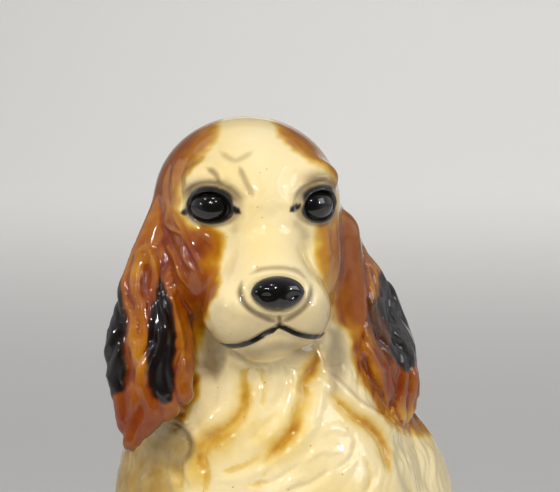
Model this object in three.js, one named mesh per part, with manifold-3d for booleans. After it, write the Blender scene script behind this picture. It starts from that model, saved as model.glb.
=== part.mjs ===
// A seated spaniel, cast in earthenware slip and glazed. The potter casts the trunk, the head, the
// ears, the legs and the tail in moulds of their own, lutes them together with slip, sets the eye
// and nose beads, and fires the figure in one piece.
//
// Millimetres, +Z up. The dog faces -Y and its own left side is +X. The origin is on the surface
// that the figure stands on, under the middle of its bounding box.
//
// Soft forms are made of masses: ellipsoids and tapered limbs that overlap. Each mass can be built
// grown by a few tenths, to cut a clearance in its neighbour, or shrunk by the wall, to hollow it.
import * as THREE from "three";
import { mergeVertices } from "three/addons/utils/BufferGeometryUtils.js";
import Module from "manifold-3d";

const wasm = await Module();
wasm.setup();

// ---------- Driving dimensions ----------
const wall = 5; // of the hollow castings
const lutingGap = 0.3; // line of slip between two castings

// Trunk
const ribWidth = 106;
const ribDepth = 92;
const ribHeight = 124;
const ribLean = 12; // degrees that the ribs lean forward
const ribCentreZ = 100;
const chestWidth = 110;
const chestDepth = 80;
const chestHeight = 104;
const chestCentreZ = 112;
const chestAhead = 38; // from the middle of the ribs to the middle of the chest
const rumpWidth = 102;
const rumpDepth = 88;
const rumpHeight = 114;
const rumpBehind = 14; // from the middle of the ribs to the middle of the rump
const rumpCentreZ = 28;
const bellyWidth = 80;
const bellyDepth = 78;
const bellyHeight = 140;
const bellyAhead = 20; // from the middle of the ribs to the middle of the belly
const bellyCentreZ = 42;
const haunchWidth = 40;
const haunchLength = 86;
const haunchHeight = 78;
const haunchSet = 10; // how far a haunch's middle lies inside the rump's side
const haunchCentreZ = 34;

// Neck
const neckSeamZ = 166; // level of the seam between trunk and head
const neckBaseRadius = 46;
const neckBaseAhead = 30; // from the middle of the ribs to the foot of the neck
const neckBaseZ = 126;
const neckTopRadius = 29;
const neckTopDrop = 24; // from the middle of the skull down to the top of the neck
const ruffWidth = 82;
const ruffDepth = 60;
const ruffHeight = 76;
const ruffCentreZ = 138;
const ruffAhead = 46; // from the middle of the ribs to the middle of the ruff
const collarLength = 10; // of the head's collar inside the trunk
const collarWall = 3;
const collarClearance = 2.5;
const collarFlange = 3; // height of the ledge that carries the collar

// Head: reaches are forward from the middle of the skull, drops are down from it
const headTurn = 35; // degrees, towards the dog's left
const headAhead = 54; // from the middle of the ribs to the middle of the skull
const skullCentreZ = 221;
const skullWidth = 58;
const skullLength = 66;
const skullHeight = 58;
const browWidth = 50;
const browLength = 40;
const browHeight = 40;
const browReach = 37;
const browDrop = 5;
const cheekWidth = 30;
const cheekLength = 36;
const cheekHeight = 38;
const cheekSpacing = 26;
const cheekReach = 29;
const cheekDrop = 18;
const muzzleWidth = 34;
const muzzleLength = 38;
const muzzleHeight = 32;
const muzzleReach = 49;
const muzzleDrop = 26;
const flewWidth = 25;
const flewLength = 28;
const flewHeight = 25;
const flewSpacing = 18;
const flewReach = 47;
const flewDrop = 35;
const jawWidth = 24;
const jawLength = 32;
const jawHeight = 20;
const jawReach = 44;
const jawDrop = 40;

// Eyes and nose
const eyeSpacing = 37;
const eyeWidth = 13;
const eyeDepth = 7;
const noseWidth = 18;
const noseHeight = 11.5;
const noseDepth = 9;
const noseDrop = 28;

// Ears: each midline runs down from the root, given outward from the skull's side, back and up
// from the middle of the skull
const earWidth = 37;
const earThickness = 12;
const rightEarLine = [
  [-5, 3, 16],
  [2, -1, -8],
  [7, -3, -32],
  [12, -4, -58],
  [17, -2, -82],
];
const leftEarLine = [
  [-5, 3, 16],
  [3, 0, -6],
  [10, 0, -30],
  [18, 0, -58],
  [25, 2, -82],
];
const rightEarTurn = 37; // degrees that the ear's flat face turns from forward to outward
const leftEarTurn = 45;

// Legs and tail
const foreStance = 46; // between the middles of the forelegs
const foreShoulderRadius = 15;
const foreShoulderAhead = 52; // from the middle of the ribs to the middle of the shoulder
const foreShoulderZ = 94;
const foreWristRadius = 10.5;
const foreWristAhead = 65; // from the middle of the ribs to the middle of the wrist
const foreWristZ = 14;
const pawWidth = 26;
const pawLength = 38;
const pawHeight = 21;
const pawSunk = 1; // how much of a paw's height is pressed flat
const pawAhead = 9; // from the middle of the wrist to the middle of the paw
const hindPawLength = 54;
const hindPawAhead = 38; // from the middle of a haunch to the middle of its paw
const hindPawOut = 6; // from the middle of a haunch to the middle of its paw, outward
const hindPawTurn = 8; // degrees that it points outward
const tailRadius = 10;
const tailTipRadius = 7;
// midline from root to tip, given left of the root, back from the rump's back, and up
const tailLine = [
  [-6, -8, 14],
  [14, 2, 9],
  [36, -6, 9],
  [54, -44, 6],
];

// ---------- Solids ----------
const fine = { round: 20, over: 12 };
const coarse = { round: 14, over: 9 };

// A closed three.js geometry as a solid that can be joined and cut.
function solidFrom(geometry) {
  geometry.deleteAttribute("normal");
  geometry.deleteAttribute("uv");
  const merged = mergeVertices(geometry, 1e-4);
  const corners = merged.index.array;
  const triangles = [];
  for (let i = 0; i < corners.length; i += 3) {
    const [a, b, c] = [corners[i], corners[i + 1], corners[i + 2]];
    if (a !== b && b !== c && c !== a) triangles.push(a, b, c);
  }
  return new wasm.Manifold(
    new wasm.Mesh({
      numProp: 3,
      vertProperties: merged.attributes.position.array,
      triVerts: new Uint32Array(triangles),
    }),
  );
}

const joined = (solids) => solids.reduce((all, next) => all.add(next));

// Mass: an ellipsoid about `at`, with three half sizes, leaning forward by `lean` degrees.
function ellipsoid(at, half, { lean = 0, yaw = 0, mesh = fine } = {}) {
  return (grow, frame) => {
    const geometry = new THREE.SphereGeometry(1, mesh.round, mesh.over);
    geometry.rotateX(Math.PI / 2);
    geometry.scale(half[0] + grow, half[1] + grow, half[2] + grow);
    geometry.rotateX(THREE.MathUtils.degToRad(lean));
    geometry.rotateZ(THREE.MathUtils.degToRad(yaw));
    geometry.translate(...at);
    return solidFrom(geometry.applyMatrix4(frame));
  };
}

// Mass: a limb with round ends, tapering from one point and radius to another.
function limb(from, to, fromRadius, toRadius, mesh = fine) {
  return (grow, frame) => {
    const start = new THREE.Vector3(...from);
    const along = new THREE.Vector3(...to).sub(start);
    const length = along.length();
    const quarter = mesh.over / 3;
    const profile = [];
    for (let i = 0; i <= quarter; i++) {
      const angle = (i / quarter - 1) * (Math.PI / 2);
      const radius = fromRadius + grow;
      profile.push(new THREE.Vector2(radius * Math.cos(angle), radius * Math.sin(angle)));
    }
    for (let i = 0; i <= quarter; i++) {
      const angle = (i / quarter) * (Math.PI / 2);
      const radius = toRadius + grow;
      profile.push(new THREE.Vector2(radius * Math.cos(angle), length + radius * Math.sin(angle)));
    }
    profile[0].x = 0;
    profile[profile.length - 1].x = 0;
    const geometry = new THREE.LatheGeometry(profile, mesh.round);
    const turn = new THREE.Quaternion().setFromUnitVectors(
      new THREE.Vector3(0, 1, 0),
      along.normalize(),
    );
    geometry.applyQuaternion(turn);
    geometry.translate(...start.toArray());
    return solidFrom(geometry.applyMatrix4(frame));
  };
}

// Everything above, or below, a level in the figure's frame.
function halfSpace(level, side, frame) {
  const reach = 1000;
  const block = new THREE.BoxGeometry(reach, reach, reach);
  block.translate(0, 0, level + (side * reach) / 2);
  return solidFrom(block.applyMatrix4(frame));
}

const figureFrame = new THREE.Matrix4();
const grown = (masses, grow, frame = figureFrame) => joined(masses.map((m) => m(grow, frame)));

// ---------- Trunk ----------
const rumpCentre = [0, rumpBehind, rumpCentreZ];
const haunchX = rumpWidth / 2 - haunchSet;
const haunchY = rumpBehind - haunchSet;

const trunkMasses = [
  ellipsoid([0, 0, ribCentreZ], [ribWidth / 2, ribDepth / 2, ribHeight / 2], { lean: ribLean }),
  ellipsoid([0, -chestAhead, chestCentreZ], [chestWidth / 2, chestDepth / 2, chestHeight / 2]),
  ellipsoid([0, -bellyAhead, bellyCentreZ], [bellyWidth / 2, bellyDepth / 2, bellyHeight / 2]),
  ellipsoid(rumpCentre, [rumpWidth / 2, rumpDepth / 2, rumpHeight / 2]),
];
const haunches = [-1, 1].map((side) =>
  ellipsoid(
    [side * haunchX, haunchY, haunchCentreZ],
    [haunchWidth / 2, haunchLength / 2, haunchHeight / 2],
  ),
);

// ---------- Head, in its own frame: middle of the skull, facing -Y ----------
const skullCentre = [0, -headAhead, skullCentreZ];
const headFrame = new THREE.Matrix4()
  .makeTranslation(...skullCentre)
  .multiply(new THREE.Matrix4().makeRotationZ(THREE.MathUtils.degToRad(headTurn)));
const intoHead = headFrame.clone().invert();

// The neck and the ruff below the chin belong to both castings and are cut at the seam.
const neckBase = [0, -neckBaseAhead, neckBaseZ];
const neckTop = [0, -headAhead, skullCentreZ - neckTopDrop];
const neckMasses = [
  limb(neckBase, neckTop, neckBaseRadius, neckTopRadius),
  ellipsoid([0, -ruffAhead, ruffCentreZ], [ruffWidth / 2, ruffDepth / 2, ruffHeight / 2]),
];

const brow = {
  at: [0, browLength / 2 - browReach, -browDrop],
  half: [browWidth / 2, browLength / 2, browHeight / 2],
};
const skullMasses = [
  ellipsoid([0, 0, 0], [skullWidth / 2, skullLength / 2, skullHeight / 2]),
  ellipsoid(brow.at, brow.half),
];
const faceMasses = [
  ellipsoid(
    [0, muzzleLength / 2 - muzzleReach, -muzzleDrop],
    [muzzleWidth / 2, muzzleLength / 2, muzzleHeight / 2],
  ),
  ellipsoid([0, jawLength / 2 - jawReach, -jawDrop], [jawWidth / 2, jawLength / 2, jawHeight / 2], {
    mesh: coarse,
  }),
  ...[-1, 1].flatMap((side) => [
    ellipsoid(
      [(side * cheekSpacing) / 2, cheekLength / 2 - cheekReach, -cheekDrop],
      [cheekWidth / 2, cheekLength / 2, cheekHeight / 2],
      { mesh: coarse },
    ),
    ellipsoid(
      [(side * flewSpacing) / 2, flewLength / 2 - flewReach, -flewDrop],
      [flewWidth / 2, flewLength / 2, flewHeight / 2],
      { mesh: coarse },
    ),
  ]),
];
const headMasses = [...skullMasses, ...faceMasses];

// An eye bead lies in the brow's surface and faces along its outward direction.
function eyeBead(side) {
  const x = (side * eyeSpacing) / 2;
  const across = x / brow.half[0];
  const up = -brow.at[2] / brow.half[2];
  const y = brow.at[1] - brow.half[1] * Math.sqrt(1 - across ** 2 - up ** 2);
  const yaw = Math.atan2(across / brow.half[0], (brow.at[1] - y) / brow.half[1] ** 2);
  return ellipsoid([x, y, 0], [eyeWidth / 2, eyeDepth / 2, eyeWidth / 2], {
    yaw: THREE.MathUtils.radToDeg(yaw),
    mesh: coarse,
  });
}
const eyes = { right: eyeBead(-1), left: eyeBead(1) };
const nose = ellipsoid(
  [0, -muzzleReach, -noseDrop],
  [noseWidth / 2, noseDepth / 2, noseHeight / 2],
  { mesh: coarse },
);

// The head's collar: an upright ring on a ledge, that drops into the trunk's neck.
function neckCollar() {
  const share = (neckSeamZ - neckBaseZ) / (neckTop[2] - neckBaseZ);
  const seamRadius = THREE.MathUtils.lerp(neckBaseRadius, neckTopRadius, share);
  const outer = seamRadius - wall - collarClearance;
  const profile = [
    [outer - collarWall, -collarLength],
    [outer, -collarLength],
    [outer, 0],
    [seamRadius - wall / 2, 0],
    [seamRadius - wall / 2, collarFlange],
    [outer - collarWall, collarFlange],
    [outer - collarWall, -collarLength],
  ].map(([x, y]) => new THREE.Vector2(x, y));
  const ring = new THREE.LatheGeometry(profile, fine.round);
  ring.rotateX(Math.PI / 2);
  ring.translate(0, THREE.MathUtils.lerp(neckBase[1], neckTop[1], share), neckSeamZ);
  return solidFrom(ring.applyMatrix4(intoHead));
}

// ---------- Castings ----------
const trunkOuter = (grow, frame) =>
  grown([...trunkMasses, ...haunches, ...neckMasses], grow, frame);
const headOuter = (grow) => grown(headMasses, grow).add(grown(neckMasses, grow, intoHead));

const trunkShell = trunkOuter(0)
  .subtract(grown([...trunkMasses, ...neckMasses], -wall))
  .subtract(halfSpace(0, -1, figureFrame))
  .subtract(halfSpace(neckSeamZ - lutingGap, 1, figureFrame));

const headCavity = grown(skullMasses, -wall).add(grown(neckMasses, -wall, intoHead));
const headShell = headOuter(0)
  .subtract(headCavity)
  .subtract(halfSpace(neckSeamZ, -1, intoHead))
  .add(neckCollar())
  .subtract(eyes.left(lutingGap, figureFrame))
  .subtract(eyes.right(lutingGap, figureFrame))
  .subtract(nose(lutingGap, figureFrame));

// An ear: a leaf turned on its long axis, flattened, and bent along its midline. Its outline is
// given in shares of half its width and of its length.
const leafOutline = [
  [0, 0],
  [0.38, 0.015],
  [0.57, 0.17],
  [0.73, 0.38],
  [1, 0.64],
  [0.84, 0.82],
  [0.27, 0.97],
  [0, 1],
];
function ear(side, line, turn) {
  const curve = new THREE.CatmullRomCurve3(
    line.map(([out, y, z]) => new THREE.Vector3(side * (skullWidth / 2 + out), y, z)),
  );
  const length = curve.getLength();
  const outline = new THREE.SplineCurve(
    leafOutline.map(([x, y]) => new THREE.Vector2((x * earWidth) / 2, y * length)),
  ).getPoints(20);
  outline[0].set(0, 0);
  outline[outline.length - 1].set(0, length);
  const geometry = new THREE.LatheGeometry(outline, coarse.round);
  const place = geometry.attributes.position;
  const facing = THREE.MathUtils.degToRad(turn);
  const outward = new THREE.Vector3(side * Math.sin(facing), -Math.cos(facing), 0);
  for (let i = 0; i < place.count; i++) {
    const share = THREE.MathUtils.clamp(place.getY(i) / length, 0, 1);
    const tangent = curve.getTangentAt(share);
    const across = new THREE.Vector3().crossVectors(outward, tangent).normalize();
    const out = new THREE.Vector3().crossVectors(across, tangent);
    const point = curve
      .getPointAt(share)
      .addScaledVector(across, place.getX(i))
      .addScaledVector(out, (place.getZ(i) * earThickness) / earWidth);
    place.setXYZ(i, point.x, point.y, point.z);
  }
  return solidFrom(geometry)
    .subtract(headOuter(lutingGap))
    .subtract(trunkOuter(lutingGap, intoHead));
}

// What stands on the ground is cut flat there, and clear of the trunk.
const grounded = (masses) =>
  grown(masses, 0)
    .subtract(trunkOuter(lutingGap))
    .subtract(halfSpace(0, -1, figureFrame));

const pawMass = (x, y, length, yaw) =>
  ellipsoid([x, y, pawHeight / 2 - pawSunk], [pawWidth / 2, length / 2, pawHeight / 2], {
    yaw,
    mesh: coarse,
  });

// A foreleg stands against the chest, from the shoulder down to its paw.
function foreleg(side) {
  const x = (side * foreStance) / 2;
  return grounded([
    limb(
      [x, -foreShoulderAhead, foreShoulderZ],
      [x, -foreWristAhead, foreWristZ],
      foreShoulderRadius,
      foreWristRadius,
      coarse,
    ),
    pawMass(x, -foreWristAhead - pawAhead, pawLength, 0),
  ]);
}

// A hind paw comes out from under its haunch.
const hindPaw = (side) =>
  grounded([
    pawMass(
      side * (haunchX + hindPawOut),
      haunchY - hindPawAhead,
      hindPawLength,
      side * hindPawTurn,
    ),
  ]);

// The tail lies on the ground, round the back of the rump to the left haunch.
function tail() {
  const back = rumpCentre[1] + rumpDepth / 2;
  const line = new THREE.CatmullRomCurve3(
    tailLine.map(([x, y, z]) => new THREE.Vector3(x, back + y, z)),
  ).getPoints(6);
  const radii = line.map((_, i) => (i < line.length - 2 ? tailRadius : tailTipRadius));
  return grounded(
    line
      .slice(1)
      .map((end, i) => limb(line[i].toArray(), end.toArray(), radii[i], radii[i + 1], coarse)),
  );
}

// ---------- Scene ----------
const cream = new THREE.MeshStandardMaterial({ color: "#f0deab", roughness: 0.25 });
const tan = new THREE.MeshStandardMaterial({ color: "#a9600f", roughness: 0.2 });
const black = new THREE.MeshStandardMaterial({ color: "#070605", roughness: 0.1 });

function piece(name, solid, material) {
  const { vertProperties, triVerts, numProp } = solid.getMesh();
  const places = new Float32Array((vertProperties.length / numProp) * 3);
  for (let i = 0; i < places.length / 3; i++)
    for (let axis = 0; axis < 3; axis++) places[3 * i + axis] = vertProperties[numProp * i + axis];
  const geometry = new THREE.BufferGeometry()
    .setAttribute("position", new THREE.BufferAttribute(places, 3))
    .setIndex(new THREE.BufferAttribute(triVerts, 1));
  geometry.computeVertexNormals();
  const mesh = new THREE.Mesh(geometry, material);
  mesh.name = name;
  return mesh;
}

const head = new THREE.Group();
head.position.set(...skullCentre);
head.rotation.z = THREE.MathUtils.degToRad(headTurn);
head.add(
  piece("head_shell", headShell, cream),
  piece("left_ear", ear(1, leftEarLine, leftEarTurn), tan),
  piece("right_ear", ear(-1, rightEarLine, rightEarTurn), tan),
  piece("left_eye", eyes.left(0, figureFrame), black),
  piece("right_eye", eyes.right(0, figureFrame), black),
  piece("nose_pad", nose(0, figureFrame), black),
);

const figure = new THREE.Group();
figure.add(
  head,
  piece("torso_shell", trunkShell, cream),
  piece("left_foreleg", foreleg(1), cream),
  piece("right_foreleg", foreleg(-1), cream),
  piece("left_hind_paw", hindPaw(1), cream),
  piece("right_hind_paw", hindPaw(-1), cream),
  piece("tail", tail(), tan),
);

// The origin goes under the middle of the bounding box.
const box = new THREE.Box3().setFromObject(figure, true);
const middle = box.getCenter(new THREE.Vector3());
figure.position.set(-middle.x, -middle.y, 0);

export default figure;
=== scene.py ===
# %% [markdown]
# # A seated spaniel in glazed earthenware
#
# The figure is modelled as a potter would do it: rough lumps first, then one skin pulled over them,
# then the modelling tool for lids, lips and locks of hair, then stains and a clear glaze. It ends as
# one piece for each casting, and the seams between them don't show.
#
# Sizes are in millimetres while we model, and are turned into metres when a piece is made.

import math

import bmesh
import bpy
import numpy as np
from mathutils import Matrix, Vector


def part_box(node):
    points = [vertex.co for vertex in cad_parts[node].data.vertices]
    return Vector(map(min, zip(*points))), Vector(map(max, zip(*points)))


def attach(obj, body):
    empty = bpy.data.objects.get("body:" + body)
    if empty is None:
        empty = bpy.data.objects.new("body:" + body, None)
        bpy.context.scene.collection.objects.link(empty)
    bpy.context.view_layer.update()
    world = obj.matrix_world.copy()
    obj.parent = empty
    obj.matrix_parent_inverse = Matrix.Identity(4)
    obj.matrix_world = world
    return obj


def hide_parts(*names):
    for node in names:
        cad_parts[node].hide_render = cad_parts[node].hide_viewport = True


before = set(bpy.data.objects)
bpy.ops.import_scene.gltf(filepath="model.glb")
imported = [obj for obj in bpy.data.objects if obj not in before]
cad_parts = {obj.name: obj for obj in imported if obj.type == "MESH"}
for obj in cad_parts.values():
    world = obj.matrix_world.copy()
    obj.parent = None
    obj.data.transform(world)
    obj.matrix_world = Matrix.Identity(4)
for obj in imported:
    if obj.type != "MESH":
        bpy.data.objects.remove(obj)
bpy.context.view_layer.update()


# %% [markdown]
# ## Where things are
#
# Two frames are enough. The trunk's is the figure's own, moved to the middle of the ribs. The head
# is turned, so it gets its own: x to the dog's left, y straight ahead out of the face, z up, from
# the middle of the skull. Both are found from the castings.


# %% Frames of the trunk and the head
def middle(node):
    low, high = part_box(node)
    return np.array((low + high) / 2) * 1000


EYE_AHEAD = 29.5  # from the middle of the skull to the eyes
RIBS_BEHIND = 9.4  # from the middle of the trunk casting to the middle of the ribs
eye_line = middle("left_eye") - middle("right_eye")
LEFTWARD = eye_line / np.linalg.norm(eye_line)
AHEAD = np.array([LEFTWARD[1], -LEFTWARD[0], 0.0])
SKULL = (middle("left_eye") + middle("right_eye")) / 2 - EYE_AHEAD * AHEAD
TRUNK = middle("torso_shell") * [1, 1, 0] + [0, RIBS_BEHIND, 0]
HEAD_AXES = np.array([LEFTWARD, AHEAD, [0, 0, 1]])


def to_head(points):
    return (points - SKULL) @ HEAD_AXES.T


def from_head(points):
    return np.asarray(points, float) @ HEAD_AXES + SKULL


print("middle of the skull", SKULL.round(1), "and of the ribs", TRUNK.round(1))


# %% [markdown]
# ## Lumps of clay
#
# Each lump is a formula that gives the distance from a point to its surface: an egg, a tapered
# sausage, or a leaf that follows a bent line. `merged` runs lumps together with a soft fillet.


# %% Lumps and how they merge
def egg(at, half, lean=0.0):
    tilt = math.radians(lean)
    turn = np.array(
        [[1, 0, 0], [0, math.cos(tilt), -math.sin(tilt)], [0, math.sin(tilt), math.cos(tilt)]]
    )
    half = np.array(half, float)

    def distance(points):
        q = ((points - at) @ turn) / half
        near = np.linalg.norm(q, axis=1)
        return near * (near - 1) / np.maximum(np.linalg.norm(q / half, axis=1), 1e-9)

    distance.line, distance.reach = np.array([at, at]), half
    distance.turn = turn
    return distance


def sausage(start, end, start_radius, end_radius):
    start, end = np.array(start, float), np.array(end, float)
    run = end - start

    def distance(points):
        share = np.clip((points - start) @ run / (run @ run), 0, 1)
        from_line = np.linalg.norm(points - start - share[:, None] * run, axis=1)
        return from_line - start_radius - (end_radius - start_radius) * share

    distance.line = np.array([start, end])
    distance.radii = np.array([start_radius, end_radius])
    return distance


def spline(points, count):
    """A smooth line through the points, as `count` points spaced evenly along it."""
    p = np.asarray(points, float)
    p = np.vstack([2 * p[0] - p[1], p, 2 * p[-1] - p[-2]])
    t = np.linspace(0, 1, 12, endpoint=False)[:, None]
    runs = []
    for a, b, c, d in zip(p, p[1:], p[2:], p[3:]):
        runs.append(
            0.5 * (2 * b + (c - a) * t + (2 * a - 5 * b + 4 * c - d) * t**2)
            + 0.5 * (3 * b - a - 3 * c + d) * t**3
        )
    fine = np.vstack([*runs, p[-2]])
    steps = np.concatenate([[0], np.cumsum(np.linalg.norm(np.diff(fine, axis=0), axis=1))])
    return np.stack(
        [np.interp(np.linspace(0, steps[-1], count), steps, fine[:, i]) for i in range(p.shape[1])],
        axis=1,
    )


class Leaf:
    """A flat leaf that hangs along a line. `places` gives the share of the way down it and the
    distance across it of each point, which the hair on an ear follows."""

    def __init__(self, line, half_widths, half_depths, facing, count=26):
        self.line = spline(line, count)
        share = np.linspace(0, 1, count)
        stops = np.linspace(0, 1, len(half_widths))
        self.wide = np.interp(share, stops, half_widths)
        self.deep = np.interp(share, stops, half_depths)
        along = np.gradient(self.line, axis=0)
        self.along = along / np.linalg.norm(along, axis=1, keepdims=True)
        side = np.cross(self.along, np.asarray(facing, float))
        self.side = side / np.linalg.norm(side, axis=1, keepdims=True)
        self.out = np.cross(self.side, self.along)
        self.length = np.linalg.norm(np.diff(self.line, axis=0), axis=1).sum()

    def places(self, points):
        best = np.full(len(points), 1e9)
        spot = np.zeros(len(points))
        for i, (a, b) in enumerate(zip(self.line, self.line[1:])):
            run = b - a
            share = np.clip((points - a) @ run / (run @ run), 0, 1)
            far = ((points - a - share[:, None] * run) ** 2).sum(1)
            nearer = far < best
            best[nearer], spot[nearer] = far[nearer], i + share[nearer]
        def at(table):
            low = np.minimum(spot.astype(int), len(table) - 2)
            part = spot - low
            if table.ndim > 1:
                part = part[:, None]
            return table[low] * (1 - part) + table[low + 1] * part

        q = points - at(self.line)
        across = (q * at(self.side)).sum(1)
        up = (q * at(self.out)).sum(1)
        beyond = (q * at(self.along)).sum(1)
        return spot / (len(self.line) - 1), across, up, beyond, at(self.wide), at(self.deep)

    def __call__(self, points):
        _, across, up, beyond, wide, deep = self.places(points)
        q = np.stack([across / wide, up / deep, beyond / deep], 1)
        near = np.linalg.norm(q, axis=1)
        steep = np.linalg.norm(q / np.stack([wide, deep, deep], 1), axis=1)
        return near * (near - 1) / np.maximum(steep, 1e-9)


def merged(distances, fillet):
    distances = np.asarray(distances)
    lowest = distances.min(0)
    return lowest - fillet * np.log(np.exp(-(distances - lowest) / fillet).sum(0))


# %% [markdown]
# ## The lumps of this dog
#
# Trunk lumps are measured from the middle of the ribs, head lumps in the head's frame. Each group
# belongs to one casting, and that is how the skin is cut up in the end.

# %% Trunk, legs and tail
SEAM_Z = 166  # where the head casting stands on the trunk casting
trunk_lumps = [
    egg([2.5, 0, 103], [53, 45, 61], lean=12),
    egg([0, -38, 112], [52, 38, 51]),
    egg([0, -44, 136], [41, 30, 38]),
    egg([0, -22, 44], [37, 36, 70]),
    egg([0, 14, 28], [49, 42, 56]),
    egg([-40, 4, 35], [20, 42, 40]),
    egg([40, 4, 35], [20, 42, 40]),
    sausage([0, -30, 128], [0, -52, 196], 42, 27),
]
leg_lumps = {}
for name, side in (("left", 1), ("right", -1)):
    leg_lumps[f"{name}_foreleg"] = [
        sausage([side * 24, -52, 96], [side * 23, -64, 18], 15, 10),
        egg([side * 23, -74, 8.5], [12.5, 18, 10.5]),
        egg([side * 23, -66, 13], [10.5, 11, 11]),
    ]
    leg_lumps[f"{name}_hind_paw"] = [
        egg([side * 47, -38, 8], [12, 23, 10.5]),
        egg([side * 46, -24, 10], [12, 18, 13]),
    ]
tail_line = spline([[-6, 49, 13], [16, 60, 10], [38, 51, 9.5], [53, 30, 8.5], [55, 12, 7]], 16)
tail_radii = np.interp(np.linspace(0, 1, 16), [0, 0.25, 0.75, 1], [8.5, 10.5, 9, 4.5])
tail_lumps = [
    sausage(a, b, ra, rb)
    for a, b, ra, rb in zip(tail_line, tail_line[1:], tail_radii, tail_radii[1:])
]

# %% Head and ears
cranium_lumps = [
    egg([0, 3, 0.5], [31.2, 34, 28.3]),
    egg([0, 17, -3], [25.5, 19, 18]),
    egg([-16, 25, 9], [10, 8, 6]),
    egg([16, 25, 9], [10, 8, 6]),
]
face_lumps = [
    sausage([0, 23, -7], [0, 34, -24], 11.5, 13.5),
    egg([0, 33, -27], [14, 16, 13]),
    egg([-10, 32.5, -34], [11.6, 14.5, 13]),
    egg([10, 32.5, -34], [11.6, 14.5, 13]),
    egg([0, 30, -42], [11.5, 13, 10.5]),
    egg([-17, 12, -18], [13, 19, 21]),
    egg([17, 12, -18], [13, 19, 21]),
]
throat_lumps = [
    sausage([-22, 3, -16], [-25, 0, -66], 10, 13),
    sausage([30, 4, -12], [34, -3, -52], 9, 12),
    egg([0, 8, -44], [20, 17, 20]),
    sausage([0, -12, -6], [0, -20, -60], 27, 38),
]
right_ear = Leaf(
    [[-23, 0, 9], [-29.8, 7, -8], [-34.4, 12, -25], [-36, 15, -44], [-37, 16, -60], [-42, 15, -79]],
    [3, 6.3, 9.8, 15.5, 15.7, 4],
    [3, 5, 6, 7, 6.5, 4],
    [-0.4, 0.92, 0],
)
left_ear = Leaf(
    [[23, -3, 9], [30.5, -1, -8], [37, -2, -23], [46, -4, -43], [53, -6, -60], [56.5, -8, -74]],
    [3, 6, 10.5, 16.2, 17.5, 7],
    [3, 5.5, 6.5, 7, 7.5, 5],
    [0.72, 0.69, 0],
)


right_ear_back = Leaf(
    [[-24, -3, 6], [-31, 0, -12], [-34.5, 3, -30], [-37.5, 4, -48], [-38.5, 5, -62], [-41, 8, -74]],
    [3, 7, 10.5, 13, 12, 3],
    [3, 4.5, 5, 5.5, 5.5, 3],
    [-0.95, 0.3, 0],
)


def measure(points):
    """Distance from the figure's surface, and which group of lumps each point is nearest."""
    trunk_points, head_points = points - TRUNK, to_head(points)
    groups = {"torso_shell": merged([lump(trunk_points) for lump in trunk_lumps], 5.0)}
    for name, lumps in leg_lumps.items():
        groups[name] = merged([lump(trunk_points) for lump in lumps], 2.5)
    groups["tail"] = merged([lump(trunk_points) for lump in tail_lumps], 0.4)
    groups["head_shell"] = merged(
        [
            merged([lump(head_points) for lump in cranium_lumps], 2.0),
            merged([lump(head_points) for lump in face_lumps], 1.6),
            merged([lump(head_points) for lump in throat_lumps], 2.5),
        ],
        1.6,
    )
    right = merged([right_ear(head_points), right_ear_back(head_points)], 2.2)
    ears = {"right_ear": right, "left_ear": left_ear(head_points)}
    body = merged(list(groups.values()), 1.5)
    names = [*groups, *ears]
    return merged([body, *ears.values()], 0.9), names, np.array([*groups.values(), *ears.values()])


print(len(trunk_lumps) + len(cranium_lumps) + len(face_lumps) + len(throat_lumps), "large lumps")


# %% [markdown]
# ## One skin over all the lumps
#
# Spheres are put where the lumps are and fused by a voxel remesh. Each point of that skin is then
# moved along its normal onto the merged surface. Below the feet the skin is cut off level, and the
# hollow of the casting is set in from below.


# %% Helpers for meshes held as arrays
def read_mesh(bm):
    bmesh.ops.triangulate(bm, faces=bm.faces[:])
    bm.verts.index_update()
    points = np.array([v.co for v in bm.verts])
    return points, np.array([[v.index for v in f.verts] for f in bm.faces])


def write_mesh(points, triangles):
    bm = bmesh.new()
    mesh = bpy.data.meshes.new("clay")
    mesh.from_pydata(points, [], triangles)
    bm.from_mesh(mesh)
    bpy.data.meshes.remove(mesh)
    bm.normal_update()
    return bm


def normals_of(points, triangles):
    a, b, c = (points[triangles[:, i]] for i in range(3))
    face = np.cross(b - a, c - a)
    total = np.zeros_like(points)
    for corner in range(3):
        for axis in range(3):
            total[:, axis] += np.bincount(triangles[:, corner], face[:, axis], len(points))
    return total / np.maximum(np.linalg.norm(total, axis=1, keepdims=True), 1e-12)


def neighbours_mean(values, triangles, rounds):
    """Each value replaced by the mean of its neighbours', `rounds` times."""
    ends = np.vstack([triangles[:, [0, 1]], triangles[:, [1, 2]], triangles[:, [2, 0]]])
    count = np.bincount(ends[:, 0], minlength=len(values)).clip(1)
    flat = values.reshape(len(values), -1).astype(float)
    for _ in range(rounds):
        flat = np.stack(
            [np.bincount(ends[:, 0], column[ends[:, 1]], len(values)) for column in flat.T], 1
        )
        flat /= count[:, None]
    return flat.reshape(values.shape)


# %% Fuse the lumps
VOXEL = 1.7


def add_ball(bm, centre, half, turn=None):
    place = Matrix.Translation(Vector(centre))
    if turn is not None:
        turn = turn * [1, 1, np.sign(np.linalg.det(turn))]
        place = place @ Matrix(turn.tolist()).to_4x4()
    size = Matrix.Diagonal((*half, 1))
    bmesh.ops.create_icosphere(bm, subdivisions=3, radius=1, matrix=place @ size)


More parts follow.
